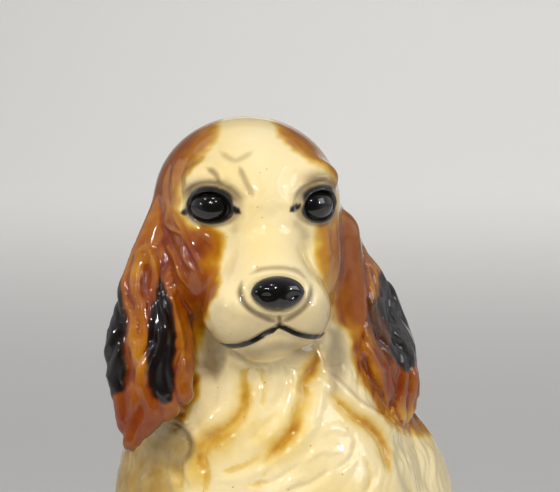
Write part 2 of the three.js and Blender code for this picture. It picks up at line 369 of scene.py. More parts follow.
def add_lumps(bm, lumps, axes, origin, shrink=0.0):
    for lump in lumps:
        if hasattr(lump, "reach"):
            turn = axes.T @ lump.turn
            add_ball(bm, lump.line[0] @ axes + origin, lump.reach - shrink, turn)
            continue
        steps = np.linalg.norm(lump.line[1] - lump.line[0]) / (0.4 * lump.radii.min())
        for share in np.linspace(0, 1, 2 + int(steps)):
            centre = lump.line[0] * (1 - share) + lump.line[1] * share
            radius = lump.radii[0] * (1 - share) + lump.radii[1] * share - shrink
            add_ball(bm, centre @ axes + origin, [radius] * 3)


def remeshed(bm, voxel):
    mesh = bpy.data.meshes.new("lumps")
    bm.to_mesh(mesh)
    bm.free()
    lumps = bpy.data.objects.new("lumps", mesh)
    bpy.context.scene.collection.objects.link(lumps)
    fuse = lumps.modifiers.new("fuse", "REMESH")
    fuse.mode, fuse.voxel_size = "VOXEL", voxel
    fused = bpy.data.meshes.new_from_object(
        lumps.evaluated_get(bpy.context.evaluated_depsgraph_get())
    )
    bpy.data.objects.remove(lumps)
    bpy.data.meshes.remove(mesh)
    out = bmesh.new()
    out.from_mesh(fused)
    bpy.data.meshes.remove(fused)
    return out


rough = bmesh.new()
upright = np.eye(3)
add_lumps(rough, trunk_lumps + tail_lumps + sum(leg_lumps.values(), []), upright, TRUNK)
add_lumps(rough, cranium_lumps + face_lumps + throat_lumps, HEAD_AXES, SKULL)
for ear in (right_ear, left_ear):
    for line, wide, deep, side, out, along in zip(
        ear.line, ear.wide, ear.deep, ear.side, ear.out, ear.along
    ):
        turn = HEAD_AXES.T @ np.array([side, out, along]).T
        add_ball(rough, from_head(line), (wide, deep, 5), turn)
skin = remeshed(rough, VOXEL)
print(len(skin.verts), "points in the rough skin")


# %% Pull the skin onto the merged surface
def settled(points, triangles, free, rounds):
    for _ in range(rounds):
        eased = neighbours_mean(points, triangles, 1)
        normal = normals_of(points, triangles)
        slide = eased - points
        slide -= (slide * normal).sum(1, keepdims=True) * normal
        moved = points + 0.5 * slide
        moved -= measure(moved)[0][:, None].clip(-3, 3) * normal
        points = np.where(free[:, None], moved, points)
    return points


points, triangles = read_mesh(skin)
skin.free()
points = settled(points, triangles, np.ones(len(points), bool), 5)

# %% Cut it level and hollow it
WALL = 5


def as_object(bm, name):
    mesh = bpy.data.meshes.new(name)
    bm.to_mesh(mesh)
    bm.free()
    thing = bpy.data.objects.new(name, mesh)
    bpy.context.scene.collection.objects.link(thing)
    return thing


inner_lumps = [egg([0, 2, 92], [42, 38, 60]), egg([0, -34, 106], [42, 30, 46])]
hollow = bmesh.new()
add_lumps(hollow, inner_lumps + trunk_lumps[3:5], upright, TRUNK, WALL)
ground = bmesh.new()
GROUND_WIDTH = 400
GROUND_DEPTH = 100
bmesh.ops.create_cube(
    ground,
    size=1,
    matrix=Matrix.Translation((0, 0, -GROUND_DEPTH / 2))
    @ Matrix.Diagonal((GROUND_WIDTH, GROUND_WIDTH, GROUND_DEPTH, 1)),
)
casting = as_object(write_mesh(points, triangles), "casting")
cutters = [as_object(remeshed(hollow, 3.0), "hollow"), as_object(ground, "ground")]
for cutter in cutters:
    cut = casting.modifiers.new(cutter.name, "BOOLEAN")
    cut.operation, cut.solver, cut.object = "DIFFERENCE", "MANIFOLD", cutter
cast_mesh = bpy.data.meshes.new_from_object(
    casting.evaluated_get(bpy.context.evaluated_depsgraph_get())
)
solid = bmesh.new()
solid.from_mesh(cast_mesh)
bpy.data.meshes.remove(cast_mesh)
for thing in (casting, *cutters):
    bpy.data.meshes.remove(thing.data)
print(sum(not e.is_manifold for e in solid.edges), "open edges in the hollow casting")
points, triangles = read_mesh(solid)
solid.free()


# %% [markdown]
# ## Finer clay where the detail goes
#
# The upper half gets its triangles cut in four, and the face twice. The hollow is left coarse.


# %% Refine
def refined(points, triangles, chosen):
    bm = write_mesh(points, triangles)
    bm.faces.ensure_lookup_table()
    edges = {e for i in np.flatnonzero(chosen) for e in bm.faces[i].edges}
    bmesh.ops.subdivide_edges(bm, edges=list(edges), cuts=1, use_grid_fill=True)
    out = read_mesh(bm)
    bm.free()
    return out


def on_outside(points):
    return (np.abs(measure(points)[0]) < 2) & (points[:, 2] > 0.3)


FINE_ABOVE = 98  # height from which the modelling is fine
centres = points[triangles].mean(1)
upper = (centres[:, 2] > FINE_ABOVE) & (np.abs(measure(centres)[0]) < 2)
points, triangles = refined(points, triangles, upper)
points = settled(points, triangles, on_outside(points), 2)

local = to_head(points[triangles].mean(1))
face = (local[:, 1] > 12) & (np.abs(local[:, 0]) < 29) & (np.abs(local[:, 2] + 18) < 38)
points, triangles = refined(points, triangles, face)
outside = on_outside(points)
points = settled(points, triangles, outside, 2)
print(len(points), "points,", len(triangles), "triangles")


# %% [markdown]
# ## The modelling tool
#
# The modeller works facing the figure, so lines are laid out as seen from there: u to the right and
# v up, in millimetres from the middle of the skull. `groove` gives each point how deep in a stroke
# it lies, `inside` how far inside an outline. `wander` is smooth noise, and `locks` combs hair.

# %% Facing the figure
FACING_AZIMUTH, FACING_HEIGHT = math.radians(22), math.radians(4.5)
sin_a, cos_a = math.sin(FACING_AZIMUTH), math.cos(FACING_AZIMUTH)
sin_h, cos_h = math.sin(FACING_HEIGHT), math.cos(FACING_HEIGHT)
TOWARDS = np.array([sin_a * cos_h, -cos_a * cos_h, sin_h])
RIGHT = np.array([cos_a, sin_a, 0.0])
UP = np.cross(TOWARDS, RIGHT)


def smooth(low, high, value):
    t = np.clip((value - low) / (high - low), 0, 1)
    return t * t * (3 - 2 * t)


def groove(uv, line, radius, taper=0.2):
    """1 along a drawn line and 0 away from it, fading over a share of its length at each end."""
    line = spline(line, 4 * len(line) + 6)
    reach = 3 * radius
    near = ((uv > line.min(0) - reach) & (uv < line.max(0) + reach)).all(1)
    q = uv[near]
    best, spot = np.full(len(q), 1e9), np.zeros(len(q))
    for i, (a, b) in enumerate(zip(line, line[1:])):
        run = b - a
        share = np.clip((q - a) @ run / (run @ run), 0, 1)
        far = ((q - a - share[:, None] * run) ** 2).sum(1)
        nearer = far < best
        best[nearer], spot[nearer] = far[nearer], i + share[nearer]
    spot /= len(line) - 1
    depth = np.zeros(len(uv))
    end = smooth(-0.05, taper, np.minimum(spot, 1 - spot))
    depth[near] = np.exp(-best / (radius * (0.45 + 0.55 * end)) ** 2) * (0.2 + 0.8 * end)
    return depth


def inside(uv, outline):
    """Distance to the outline, in millimetres, positive inside it."""
    outline = np.asarray(outline, float)
    best, odd = np.full(len(uv), 1e9), np.zeros(len(uv), bool)
    for a, b in zip(outline, np.roll(outline, -1, axis=0)):
        run = b - a
        share = np.clip((uv - a) @ run / (run @ run), 0, 1)
        best = np.minimum(best, ((uv - a - share[:, None] * run) ** 2).sum(1))
        if a[1] != b[1]:
            crosses = (a[1] > uv[:, 1]) != (b[1] > uv[:, 1])
            odd ^= crosses & (uv[:, 0] < a[0] + (uv[:, 1] - a[1]) * run[0] / run[1])
    return np.where(odd, 1, -1) * np.sqrt(best)


def wander(points, size, seed):
    """Smooth noise between -1 and 1 with bumps about `size` across."""
    q = np.asarray(points, float) / size
    cell = np.floor(q).astype(np.int64)
    part = q - cell
    part = part * part * (3 - 2 * part)
    primes = np.array([73856093, 19349663, 83492791])[: q.shape[1]]
    total = np.zeros(len(q))
    for corner in range(2 ** q.shape[1]):
        step = np.array([(corner >> i) & 1 for i in range(q.shape[1])])
        mixed = np.bitwise_xor.reduce((cell + step) * primes, axis=1) + seed * 7919
        mixed = ((mixed ^ (mixed >> 13)) & 0xFFFFFFFF) * 1274126177 & 0xFFFFFFFF
        value = ((mixed ^ (mixed >> 15)) & 0xFFFF) / 32767.5 - 1
        total += value * np.prod(np.where(step, part, 1 - part), axis=1)
    return total


def locks(across, along, width, length, sway, seed):
    """Height from 0 to 1 of wavy locks of hair, `width` apart, that swell and thin along them."""
    lane = (across + sway * np.sin(2 * math.pi * along / length + seed)) / width
    number = np.floor(lane)
    start = np.modf(np.sin(number * 12.99 + seed) * 437.5)[0]
    swell = 0.6 + 0.4 * np.sin(2 * math.pi * (along / (1.7 * length) + start))
    return np.sin(math.pi * (lane - number)) ** 0.6 * swell


def seen(points):
    return np.stack([(points - SKULL) @ RIGHT, (points - SKULL) @ UP], 1)


def casting_of(points):
    """The name of the casting that each point of the skin belongs to."""
    _, names, distances = measure(points)
    nearest = np.array(names)[distances.argmin(0)]
    shell = (nearest == "head_shell") | (nearest == "torso_shell")
    return np.where(shell, np.where(points[:, 2] > SEAM_Z, "head_shell", "torso_shell"), nearest)


casting = casting_of(points)
print({name: int((casting == name).sum()) for name in np.unique(casting)})

# %% [markdown]
# ## Lids, nose, lips
#
# A lid is a raised rim round an almond opening. Inside the opening the clay is pushed back, and the
# eye bead shows through. The muzzle gets a rim round the nose, the split lip and the chin below it.

# %% The face
EYE_HALF = (7.6, 6.6, 6.4)
eyes = {"right_eye": [-17.2, 26.2, 0.9], "left_eye": [16.8, 26.3, 0.8]}
NOSE = np.array([0.3, 49.3, -27.6])
local = to_head(points)
normal = normals_of(points, triangles)
rise = np.zeros(len(points))
head_front = (casting == "head_shell") & (local[:, 1] > 10)
lid_ring = {}
for name, centre in eyes.items():
    side = np.sign(centre[0])
    out = np.array([side * math.sin(math.radians(20)), math.cos(math.radians(20)), 0])
    q = local - centre
    outward = side * (q[:, 0] * out[1] - q[:, 1] * out[0] * side * side)
    height = q[:, 2] + 1.6
    inner = outward < 0
    wide = np.where(inner, 7.2, 6.4)
    tall = np.where(height > 0, 5.8, 4.1)
    ring = np.hypot(outward / wide, height / tall)
    ring[~head_front | (q @ out < 0)] = 9
    lid_ring[name] = ring
    upper_lid = smooth(-1, 2, height)
    rise -= 2.0 * smooth(1.04, 0.9, ring)
    rise += (0.6 + 0.7 * upper_lid) * np.exp(-(((ring - 1.17) / 0.13) ** 2))
    fold = smooth(0.25, 0.55, normal @ TOWARDS)
    rise -= fold * (0.2 + 0.45 * upper_lid) * np.exp(-(((ring - 1.5) / 0.14) ** 2))
    rise += fold * 0.4 * upper_lid * np.exp(-(((ring - 1.82) / 0.2) ** 2))

nose_ring = np.hypot(local[:, 0] / 9.2, (local[:, 2] - NOSE[2]) / 5.8)
nose_ring[~head_front | (local[:, 1] < 36)] = 9
rise -= 1.2 * smooth(1.0, 0.8, nose_ring)
rise += 0.55 * np.exp(-(((nose_ring - 1.2) / 0.16) ** 2))
points = points + rise[:, None] * normal
print("lids, nose rim raised by up to", rise.max().round(2), "mm")

# %% Lines of the face
philtrum = [(11.6, -38.6), (11.8, -41), (11.9, -43.4)]
lip_left = [(12.6, -41.9), (6.8, -44.9), (2.7, -47.2), (-1.7, -48.7), (-5.6, -48.8), (-8.6, -47.4)]
lip_right = [(10.4, -42), (13.6, -42.9), (17.3, -44.7), (21.4, -45.7), (24.8, -45.8), (27.4, -44.6)]
nose_left = [(-0.8, -27.5), (-1.2, -31), (0.4, -34.8), (3.6, -37.6), (7.8, -39.8), (11.6, -41.2)]
nose_right = [(22.4, -28.6), (22, -32.5), (19.6, -36.2), (16, -39), (12, -41.2)]
nose_top = [(2, -24.8), (6, -23.2), (12, -22.8), (17, -23.6), (20.5, -26)]
face_lines = [
    # line, radius, height
    (lip_left, 0.8, -1.5),
    (lip_right, 0.8, -1.5),
    (philtrum, 0.7, -0.7),
    (nose_left, 1.2, -0.6),
    (nose_right, 1.2, -0.5),
    (nose_top, 1.3, -0.16),
    ([(-8.5, 16), (-4.1, 13.2), (-1.2, 13.4), (3, 16)], 0.9, -0.45),
    ([(-9, 18.3), (-4, 15.6), (3, 18)], 1.5, 0.3),
    ([(-1.6, 11), (0.5, 5.9), (3.2, 0.4)], 0.8, -0.65),
    ([(-4, 11), (-2.2, 5.4), (0.2, 0.2)], 1.5, 0.55),
    ([(3.2, 10), (4.4, 5.5), (5.6, 1)], 1.3, 0.3),
    ([(-12.5, 10.5), (-9.4, 7.9), (-7.8, 2.8)], 0.8, -0.6),
    ([(-10.5, 11.5), (-6.8, 8), (-5.8, 3)], 1.3, 0.4),
    ([(14.9, 11.5), (12.8, 5.9), (13.6, 0.4)], 0.9, -0.5),
    ([(16.6, 10.5), (15, 5.9), (15.6, 1)], 1.3, 0.35),
    ([(-1.5, -5), (-3.4, -12), (-4.6, -20), (-6.5, -28)], 1.8, -0.5),
    ([(18.5, -5), (20.5, -12), (22.2, -19)], 1.8, -0.4),
    ([(3.5, -3), (8, -6), (14, -3)], 2.6, -0.5),
    ([(-6, -50.5), (2, -49.5), (11, -45.5), (20, -48), (25, -48.5)], 2.0, -0.8),
]
temple_lines = [
    ([(-26, -4), (-25.8, -8.7), (-21.1, -11.7), (-20.4, -15.8), (-19.8, -20), (-15.9, -24.5)], 0.75, 1.0),
    ([(-23.6, -5.6), (-20.6, -10.5), (-18.2, -15.8), (-15.3, -21), (-13.4, -24.2)], 0.75, 0.9),
    ([(-28.4, -6), (-27, -14), (-23.5, -19.3), (-21.7, -24.5), (-18.6, -29.5)], 0.8, 0.9),
    ([(-22.6, -8.5), (-20.2, -14), (-17.6, -20), (-15.8, -23)], 1.2, -0.6),
    ([(-26.6, -9), (-24.2, -16), (-21, -22), (-18, -27)], 1.4, -0.7),
    ([(-24.5, 12), (-26, 5), (-25.2, -1.5)], 0.9, -0.6),
    ([(-22, 14), (-23.8, 8), (-23.4, 2)], 1.0, 0.5),
    ([(-19, 13), (-20.6, 8), (-20.4, 3.5)], 0.8, -0.35),
    ([(-16.5, -10.5), (-13, -12.2), (-10.5, -15), (-9.5, -18.8)], 0.8, 0.45),
    ([(30.6, -4), (29.6, -12), (30.6, -20), (29.4, -28)], 1.0, -0.7),
]
local, normal, uv = to_head(points), normals_of(points, triangles), seen(points)
facing = smooth(0.05, 0.3, normal @ TOWARDS)
rise = np.zeros(len(points))
for lines, where in ((face_lines, head_front), (temple_lines, (casting == "head_shell"))):
    for line, radius, height in lines:
        rise[where] += height * groove(uv[where], line, radius)
points = points + (rise * facing)[:, None] * normal
print(len(face_lines) + len(temple_lines), "strokes")


# %% [markdown]
# ## Combing the coat
#
# Each ear's locks run down the ear, the trunk's run down round it, and the chest has long curls
# laid in one by one. `comb` holds the height of the hair at each point.

# %% Locks of hair
local, normal, uv = to_head(points), normals_of(points, triangles), seen(points)
facing = smooth(0.0, 0.3, normal @ TOWARDS)
comb = np.zeros(len(points))
for name, ear, seed in (("right_ear", right_ear, 1), ("left_ear", left_ear, 4)):
    here = casting == name
    share, across, up, _, wide, _ = ear.places(local[here])
    along = share * ear.length
    bend = 1.6 * wander(local[here], 14, seed)
    hair = locks(across + bend, along, 6.2, 34, 2.4, seed)
    fine = locks(across + bend, along, 2.7, 23, 1.6, seed + 7)
    comb[here] = smooth(0.12, 0.42, share) * (1.8 * (hair - 0.6) + 0.4 * (fine - 0.6))

trunk_points = points - TRUNK
around = np.arctan2(trunk_points[:, 0], -trunk_points[:, 1]) * 46
drift = 5 * wander(points, 26, 3) + 2 * wander(points, 11, 5)
coat = locks(around + drift, -points[:, 2] + 3 * wander(points, 18, 8), 8.5, 30, 3.2, 2)
strands = locks(around + drift, -points[:, 2], 3.4, 17, 1.5, 9)
patchy = smooth(-0.5, 0.5, wander(points, 15, 12))
body = (casting == "torso_shell") & outside
chest = smooth(-58, -72, uv[:, 1]) * facing
comb[body] = (
    (1.0 - 0.45 * chest) * (coat - 0.6) + (0.05 + 0.35 * patchy) * (strands - 0.6)
)[body]
comb *= 1 - 0.85 * smooth(12, 0, points[:, 2])

limbs = np.isin(casting, ["left_foreleg", "right_foreleg", "left_hind_paw", "right_hind_paw"])
feather = locks(trunk_points[:, 1] + 2 * wander(points, 9, 6), -points[:, 2], 4.2, 26, 1.4, 6)
comb[limbs] = (0.7 * (feather - 0.6) * smooth(14, 28, points[:, 2]))[limbs]
tail = casting == "tail"
brush = locks(points[:, 2] + 1.5 * wander(points, 8, 2), around, 3.6, 30, 1.2, 3)
comb[tail] = 0.9 * (brush[tail] - 0.6)

back_hair = locks(around * 0.7 + drift, -points[:, 2], 7.0, 26, 2.6, 5) - 0.6
nape = (casting == "head_shell") * smooth(4, -10, local[:, 1]) * smooth(10, -18, local[:, 2])
comb += 0.8 * nape * back_hair
throat = (casting == "head_shell") * smooth(-38, -50, uv[:, 1]) * smooth(30, 20, local[:, 1])
comb += 0.45 * throat * facing * (coat - 0.6)
comb[~outside] = 0
points = points + comb[:, None] * normal

# %% Curls of the chest and the ears, one by one
chest_lines = [
    # line, radius, height
    ([(-0.8, -58), (0.4, -65), (-1.4, -72), (-5.5, -76.6),
     (-12.5, -81), (-14.8, -86), (-13, -94)], 1.9, -1.3),
    ([(-5.5, -55), (-5, -63), (-6.8, -70), (-11.5, -74.5), (-17, -79)], 3.2, 1.5),
    ([(4.5, -60), (4.4, -68), (0.6, -76), (-6, -81.4), (-9, -88)], 2.4, 1.1),
    ([(24.5, -50), (23.6, -56), (20, -61.5), (20.4, -66.5),
     (18, -71.5), (17.2, -76), (13, -81.5), (7, -88)], 1.7, -1.4),
    ([(16.5, -58), (15.4, -66), (13.4, -73), (8.6, -79), (1.6, -84)], 2.3, 1.0),
    ([(26.4, -61), (24.2, -69), (22, -76.5), (16, -83.5), (9, -89.5)], 2.6, 1.3),
    ([(29, -65.5), (36, -72), (42.2, -76.6), (47, -83), (49, -92)], 1.6, -1.5),
    ([(26, -57), (30, -61.6), (37.2, -69.2), (44, -73.6), (51, -79.2), (57, -83)], 2.0, 1.9),
    ([(3, -56), (2, -62), (3.4, -69)], 1.4, 0.8),
    ([(8.6, -55), (10.2, -61), (8.8, -69)], 1.3, 0.8),
    ([(12.6, -56), (14, -61), (12.2, -68)], 1.0, -0.7),
    ([(6, -57), (6.4, -63), (5.6, -70)], 0.9, -0.7),
    ([(-1, -82), (4, -79), (9.4, -72.6)], 1.0, -0.6),
    ([(-25.5, -73), (-19.5, -76), (-16.4, -82), (-19.4, -89), (-17.6, -97)], 1.5, 1.5),
    ([(-28.5, -75.5), (-22.3, -78.5), (-19.4, -83.5), (-22.6, -90), (-21.5, -97)], 1.6, -1.4),
    ([(-23, -84), (-25, -91), (-23.4, -99)], 1.3, 0.9),
    ([(-15.5, -86), (-12.4, -92), (-14, -99)], 1.3, -0.8),
    ([(-8, -91.4), (-1, -89.6), (5.4, -85.6)], 0.9, -0.8),
    ([(-9, -94.6), (0, -93.4), (7.4, -89.4)], 1.3, 0.6),
    ([(2, -96), (10, -94.4), (17.4, -89.6)], 0.9, -0.9),
    ([(4, -99), (12, -97.4), (20.4, -92.4)], 1.3, 0.6),
    ([(14, -98), (22, -95.4), (29.4, -90.6)], 0.9, -0.8),
    ([(20, -88), (25.4, -84.6), (31.6, -84.8)], 1.1, 0.6),
    ([(25, -79), (30.4, -76.6), (35.6, -78.8)], 1.4, 0.5),
    ([(31, -91), (36.4, -86.6), (37.4, -81)], 1.0, -0.6),
    ([(41, -87), (42.8, -93), (40.6, -100)], 1.1, -0.6),
    ([(52.5, -84), (53.6, -92), (57, -101)], 1.6, -0.7),
    ([(57.5, -80), (60, -89), (63.4, -100)], 1.6, -0.6),
    ([(55, -86), (57, -94), (60, -102)], 1.6, 0.5),
]
ear_lines = {
    "right_ear": [
        ([(-36.5, -21), (-35.4, -17.4), (-32.6, -16.6),
         (-30.6, -20.5), (-29.4, -27), (-29.8, -33)], 1.0, 1.3),
        ([(-34, -21), (-33, -26), (-33.8, -33)], 1.6, -1.2),
        ([(-41.5, -33), (-39.6, -40), (-40.6, -48), (-38.6, -57), (-40.5, -65)], 1.3, -1.3),
        ([(-30.5, -30), (-31.8, -40), (-30.2, -50), (-32, -60), (-30.6, -68)], 1.3, -1.3),
        ([(-35.6, -36), (-36.6, -46), (-34.6, -56), (-36.4, -66), (-37.6, -74)], 1.6, 1.2),
        ([(-25.6, -30), (-23, -38), (-21, -47), (-20.6, -56), (-22, -63)], 1.1, 1.1),
        ([(-27, -38), (-26, -47), (-27, -57), (-25.6, -65)], 1.2, 0.9),
    ],
    "left_ear": [
        ([(39.8, -20), (40.2, -28), (39.7, -36), (40.4, -43)], 1.2, -1.6),
        ([(41.5, -20), (44, -25), (44.6, -32), (42.4, -38)], 1.6, 0.9),
        ([(49, -28), (50, -38), (51.5, -47), (54, -55)], 1.2, -0.8),
        ([(40.6, -44), (42.4, -52), (46, -60), (48.5, -69)], 1.6, 1.5),
        ([(44.6, -44), (48, -52), (51, -58), (52.4, -65)], 1.2, -1.4),
        ([(40.8, -52), (42.4, -60), (45.8, -69)], 1.0, -0.9),
        ([(56.6, -58), (58.6, -63), (58, -69)], 2.6, 1.3),
    ],
}
normal, uv = normals_of(points, triangles), seen(points)
facing = smooth(0.05, 0.3, normal @ TOWARDS)
rise = np.zeros(len(points))
near_chest = (casting == "torso_shell") | (casting == "head_shell")
for line, radius, height in chest_lines:
    rise[near_chest] += height * groove(uv[near_chest], line, radius)
for name, lines in ear_lines.items():
    for line, radius, height in lines:
        rise[casting == name] += height * groove(uv[casting == name], line, radius)
points = points + (rise * facing * outside)[:, None] * normal

# %% Toes
toes = np.zeros(len(points))
for name, lumps in leg_lumps.items():
    here = casting == name
    paw = lumps[1] if "fore" in name else lumps[0]
    q = (points[here] - TRUNK - paw.line[0]) / paw.reach
    for place in (-0.42, 0.0, 0.42):
        toes[here] -= 1.7 * np.exp(-(((q[:, 0] - place) / 0.1) ** 2)) * smooth(0.1, -0.5, q[:, 1])
points = points + (toes * outside * smooth(1, 5, points[:, 2]))[:, None] * normal
points[:, 2] = np.where(points[:, 2] < 0.3, np.maximum(points[:, 2], 0), points[:, 2])

# Slip and glaze soften every edge a little.
soft = neighbours_mean(points, triangles, 1)
points = np.where(outside[:, None], 0.65 * points + 0.35 * soft, points)
normal = normals_of(points, triangles)
print("hair raised from", comb.min().round(2), "to", comb.max().round(2), "mm")


# %% [markdown]
# ## Stains
#
# Four stains are laid under the glaze: tan, black, a grey airbrush shade, and the glaze's own pool
# of tan in the hollows. Each is a density per point. The stain gets thin where the glaze breaks
# over a ridge, and thick where it pools in a groove. The grey also holds painted shade under the
# lip and jaw, behind the flews and beside the left ear, and the grey and tan hold a painted shadow
# on the lower left of the chest.

# %% Laying the stains on
uv, local = seen(points), to_head(points)
facing = smooth(-0.1, 0.2, normal @ TOWARDS)
hollowness = ((neighbours_mean(points, triangles, 10) - points) * normal).sum(1)
broad = ((neighbours_mean(points, triangles, 40) - points) * normal).sum(1)
edge = 1.2 * wander(points, 7, 21) + 0.8 * wander(points, 2.5, 22)

cream_face = [
    (-7, 60), (-8.5, 30), (-10.6, 21.5), (-14.7, 14.7), (-18.2, 9.4), (-21.8, 3.6), (-22.6, -3.5),
    (-18.5, -9.2), (-11, -10.4), (-8, -12.2), (-8.4, -16), (-9.4, -21.6), (-8.8, -27.5),
    (-10.4, -33.3), (-12.6, -37.8), (-15, -44), (-16, -52), (-17.5, -60), (-17, -66), (-22, -76),
    (-60, -80), (-80, -200), (120, -200), (110, -84), (54, -80), (47, -72), (40, -62), (37.6, -52),
    (35.5, -45), (29.5, -40), (28.8, -33), (27.3, -27.5), (25.6, -21.6), (25, -15.8), (24.3, -8.2),
    (27.5, -6.5), (31, -3), (31.4, 3), (30, 8.4), (26.9, 11.8), (21, 14.2), (16.3, 17.2), (12.4, 22),
    (9, 30), (7, 60),
]
from_cream = -inside(uv, cream_face) + edge
tan = 0.72 * smooth(-2.2, 1.6, from_cream) + 0.42 * smooth(1.5, 7, from_cream)
right_cheek = smooth(22, 26, uv[:, 0]) * smooth(34, 30, uv[:, 0]) * smooth(0, -8, uv[:, 1])
tan *= 1 - 0.25 * right_cheek

behind = smooth(-4, -16, local[:, 1])
blaze = smooth(9, 5, np.abs(local[:, 0] + 2) + edge) * smooth(-6, 12, local[:, 2])
back_of_head = 0.9 * (1 - blaze) * smooth(-52, -38, local[:, 2] + 2 * edge)
tan = np.where(casting == "head_shell", tan * (1 - behind) + back_of_head * behind, tan)

saddle = np.linalg.norm((points - TRUNK - [-6, 34, 118]) / [36, 30, 40], axis=1)
patch = np.linalg.norm((points - TRUNK - [44, 26, 44]) / [26, 26, 30], axis=1)
body_tan = 0.9 * smooth(1.12, 0.86, np.minimum(saddle, patch) + 0.06 * edge)
front = facing * smooth(-104, -96, uv[:, 1]) * smooth(-27, -20, uv[:, 0])
tan = np.where(casting == "torso_shell", np.maximum(tan * front, body_tan * (1 - front)), tan)
tan[np.char.endswith(casting, "leg") | np.char.endswith(casting, "paw")] = 0
tan[casting == "tail"] = (0.85 - 0.8 * smooth(44, 52, points[:, 0] - edge * 2))[casting == "tail"]

for name, ear in (("right_ear", right_ear), ("left_ear", left_ear)):
    here = casting == name
    share = ear.places(local[here])[0]
    tan[here] = 0.98 + 0.16 * wander(points[here], 9, 31) + 0.25 * smooth(0.5, 1, share)
fade = smooth(-64, -79, uv[:, 1] + 0.5 * edge) * (casting == "left_ear")
tan *= 1 - 0.8 * fade
milky = smooth(-2, 1.5, inside(uv, [(42, -55), (46, -58), (48.5, -69), (46, -71), (43.5, -64)]))
tan *= 1 - 0.55 * milky * (casting == "left_ear")
warm = smooth(-3, 2, inside(uv, [(-38, -22), (-33, -22), (-32, -50), (-35, -74), (-40, -70), (-39, -40)]))
tan *= 1 - 0.2 * warm * (casting == "right_ear")

black_outlines = {
    "right_ear": [
        [(-46, -30), (-42, -26.5), (-41.4, -38), (-40.6, -48), (-39.4, -57),
         (-40.4, -64), (-47, -67), (-52, -60), (-50, -38)],
        [(-28.4, -26), (-30.8, -38), (-31.4, -50), (-31.2, -62), (-28, -68.5),
         (-24.4, -67), (-23.6, -57), (-23.2, -46), (-25.2, -34)],
    ],
    "left_ear": [
        [(46, -26.5), (48.5, -24), (54, -34), (59, -46), (59, -56),
         (55.4, -58.2), (51, -52.6), (49, -45.6), (46.2, -36)],
    ],
}
black = np.zeros(len(points))
for name, outlines in black_outlines.items():
    here = casting == name
    for outline in outlines:
        depth = inside(uv, outline) + 0.9 * edge
        black[here] = np.maximum(black[here], (smooth(-1.2, 1.0, depth) * facing)[here])
olive = smooth(-2.5, 2, inside(uv, [(41, -33), (46, -34), (50, -47), (50, -55), (46, -50), (42, -42)]))
black = np.maximum(black, 0.34 * olive * facing * (casting == "left_ear"))

grey = np.zeros(len(points))
for name, ring in lid_ring.items():
    height = local[:, 2] - 0.8
    top = smooth(0, 4, height)
    black = np.maximum(black, smooth(1.26, 1.08, ring + 0.02 * edge - 0.14 * top))
    lid_shade = np.exp(-(((ring - 1.3) / (0.24 + 0.16 * top)) ** 2)) * (0.5 + 0.35 * top)
    grey = np.maximum(grey, lid_shade * (ring < 5))
for line, radius in (
    ([(-7, -2.6), (-4.6, -3), (-3, -3.6), (-1.4, -4.6)], 0.8),
    ([(-18, -3), (-19.6, -4.2), (-21, -4.6)], 0.7),
    ([(18.6, -1.8), (17, -2.8), (15.4, -4)], 0.7),
):
    black = np.maximum(black, 1.4 * groove(uv, line, radius) * facing * (casting == "head_shell"))
over_left_eye = np.exp(-(((uv[:, 0] - 25) / 5) ** 2) - ((uv[:, 1] - 6.5) / 2.6) ** 2)
grey = np.maximum(grey, 0.75 * over_left_eye * (casting == "head_shell"))
for line, radius, strength in (
    (nose_left, 1.0, 0.85), (nose_right, 1.0, 0.75), (nose_top, 0.8, 0.4), (philtrum, 0.8, 0.8),
    ([(0, -4), (-2.5, -7), (-3.4, -12)], 1.5, 0.16),
    ([(16, -7), (19.5, -10), (21, -14)], 1.5, 0.2),
    ([(-25.5, -74.5), (-20.5, -77.5), (-17.8, -83), (-20.6, -89.5)], 1.2, 0.7),
    ([(-22, -80), (-20.5, -86), (-24, -92)], 1.3, 0.5),
    ([(-8.5, 16), (-4.1, 13.2), (-1.2, 13.4), (3, 16)], 0.9, 0.25),
    ([(-1.6, 11), (0.5, 5.9), (3.2, 0.4)], 0.9, 0.35),
    ([(-12.5, 10.5), (-9.4, 7.9), (-7.8, 2.8)], 1.0, 0.5),
    # Painted shade under the lower lip:
    ([(-6, -51), (2, -51.5), (11, -48.5), (20, -50), (26, -49.5)], 2.6, 0.45),
):
    grey[near_chest] = np.maximum(
        grey[near_chest], strength * (groove(uv, line, radius) * facing)[near_chest]
    )
lips = facing * np.max([groove(uv, line, 0.8) for line in (lip_left, lip_right)], axis=0)
black[near_chest] = np.maximum(black[near_chest], smooth(0.25, 0.6, lips)[near_chest])

# Soft grey patches and their strength. The first, second and fourth are painted shade: in the recess
# behind the flews, on the neck between the muzzle and the left ear, and under the jaw. The third is a
# grey smudge below the right ear's tip, the last a faint grey round the mouth.
grey_and_shade_patches = [
    ([(-13.5, -43), (-9, -47.5), (-7.5, -54), (-10, -60), (-14.5, -56)], 0.8),
    ([(28.5, -44), (32.6, -44), (33, -56), (30.6, -64), (28.2, -56)], 0.5),
    ([(-32, -76), (-24, -73), (-18.5, -77), (-18, -85), (-22, -92), (-32, -90)], 0.45),
    ([(-9, -53), (4, -55), (4, -58), (-3, -58), (-7, -60)], 0.15),
    ([(-11, -33), (0, -37), (16, -37), (28, -33), (31, -42),
     (26, -50), (8, -50), (-6, -51), (-13, -44)], 0.2),
]
for outline, strength in grey_and_shade_patches:
    patch_grey_and_shade = strength * smooth(-3.5, 2.5, inside(uv, outline) + edge) * facing
    grey[near_chest] = np.maximum(grey[near_chest], patch_grey_and_shade[near_chest])
